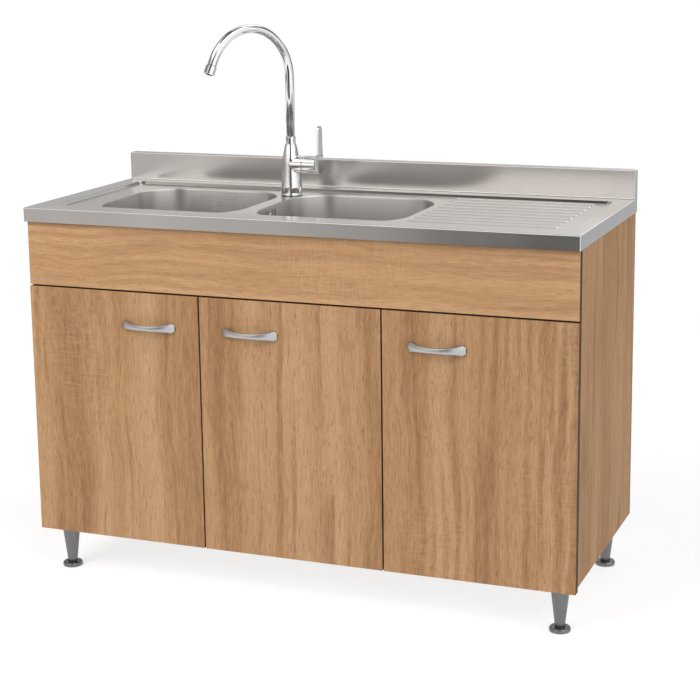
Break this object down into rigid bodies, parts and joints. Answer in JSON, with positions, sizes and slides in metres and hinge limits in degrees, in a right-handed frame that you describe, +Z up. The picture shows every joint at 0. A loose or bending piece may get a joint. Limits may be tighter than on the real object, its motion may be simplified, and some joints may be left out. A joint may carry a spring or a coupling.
{
  "type": "kitchen sink unit",
  "caption": "Floor-standing kitchen sink unit: steel double-bowl top with drainer and splashback, high-arch mixer tap, oak-look cabinet with hinged doors, bow handles and tapered legs.",
  "frame": {"origin": "middle of the footprint on the floor; the footprint runs from the handles' faces to the back of the splashback", "axes": "+X to the right along the unit, +Y to the back, towards the wall, +Z up"},
  "size_m": [1.2, 0.516, 1.1798],
  "materials": {
    "stainless": "brushed",
    "chrome_plate": "polished",
    "oak_board": "oak-look melamine, matt",
    "carcass_board": "white melamine, matt",
    "satin_metal": "satin",
    "zinc_steel": "zinc plated",
    "tap_brass": "machined",
    "drain_plastic": "moulded, satin",
    "seal_rubber": "matt"
  },
  "bodies": {
    "cabinet": {"sink_top": "stainless", "bowl_left": "stainless", "bowl_right": "stainless", "waste_flanges": "stainless", "waste_bodies": "drain_plastic", "waste_seals": "seal_rubber", "overflow_housing": "drain_plastic", "overflow_pipe": "drain_plastic", "overflow_screw": "stainless", "cross_pipe": "drain_plastic", "drain_tee": "drain_plastic", "trap_body": "drain_plastic", "trap_cup": "drain_plastic", "outlet_pipe": "drain_plastic", "union_nuts": "drain_plastic", "tap_body": "chrome_plate", "tap_seal": "seal_rubber", "tap_shank": "tap_brass", "tap_washer": "zinc_steel", "tap_nut": "tap_brass", "cartridge_sleeve": "chrome_plate", "side_panel_left": "oak_board", "side_panel_right": "oak_board", "divider_panel": "carcass_board", "bottom_panel": "carcass_board", "front_rail": "carcass_board", "back_rails": "carcass_board", "shelf": "carcass_board", "shelf_pins": "zinc_steel", "fascia": "oak_board", "door_buffers": "seal_rubber", "hinge_plates": "zinc_steel", "hinge_plate_screws": "zinc_steel", "hinge_arms": "zinc_steel", "leg_front_left": "satin_metal", "leg_front_right": "satin_metal", "leg_back_left": "satin_metal", "leg_back_right": "satin_metal", "leg_feet": "satin_metal", "leg_plates": "zinc_steel", "leg_screws": "zinc_steel"},
    "door_left": {"door_left": "oak_board", "hinge_cups_left": "zinc_steel", "handle_left": "satin_metal", "handle_screws_left": "zinc_steel"},
    "door_middle": {"door_middle": "oak_board", "hinge_cups_middle": "zinc_steel", "handle_middle": "satin_metal", "handle_screws_middle": "zinc_steel"},
    "door_right": {"door_right": "oak_board", "hinge_cups_right": "zinc_steel", "handle_right": "satin_metal", "handle_screws_right": "zinc_steel"},
    "spout": {"spout": "chrome_plate", "spout_collar": "chrome_plate", "aerator": "chrome_plate"},
    "mixer_hub": {"lever_hub": "chrome_plate"},
    "mixer_lever": {"mixer_lever": "chrome_plate"},
    "basket_left": {"basket_left": "stainless"},
    "basket_right": {"basket_right": "stainless"}
  },
  "joints": [
    {"name": "door_left_swing", "type": "hinge", "parent": "cabinet", "child": "door_left", "pos_m": [-0.593, -0.234, 0.3685], "axis": [0, 0, -1], "range_deg": [0, 95]},
    {"name": "door_middle_swing", "type": "hinge", "parent": "cabinet", "child": "door_middle", "pos_m": [0.19367, -0.234, 0.3685], "axis": [0, 0, 1], "range_deg": [0, 95]},
    {"name": "door_right_swing", "type": "hinge", "parent": "cabinet", "child": "door_right", "pos_m": [0.593, -0.234, 0.3685], "axis": [0, 0, 1], "range_deg": [0, 95]},
    {"name": "spout_swivel", "type": "hinge", "parent": "cabinet", "child": "spout", "pos_m": [-0.139, 0.12, 0.9165], "axis": [0, 0, 1], "range_deg": [-90, 145]},
    {"name": "mixer_temperature", "type": "hinge", "parent": "cabinet", "child": "mixer_hub", "pos_m": [-0.078, 0.12, 0.8715], "axis": [1, 0, 0], "range_deg": [-45, 45]},
    {"name": "mixer_flow", "type": "hinge", "parent": "mixer_hub", "child": "mixer_lever", "pos_m": [-0.0713, 0.12, 0.893], "axis": [0, 1, 0], "range_deg": [0, 25]},
    {"name": "basket_left_lift", "type": "slide", "parent": "cabinet", "child": "basket_left", "axis": [0, 0, 1], "range_m": [0, 0.045]},
    {"name": "basket_right_lift", "type": "slide", "parent": "cabinet", "child": "basket_right", "axis": [0, 0, 1], "range_m": [0, 0.045]}
  ]
}
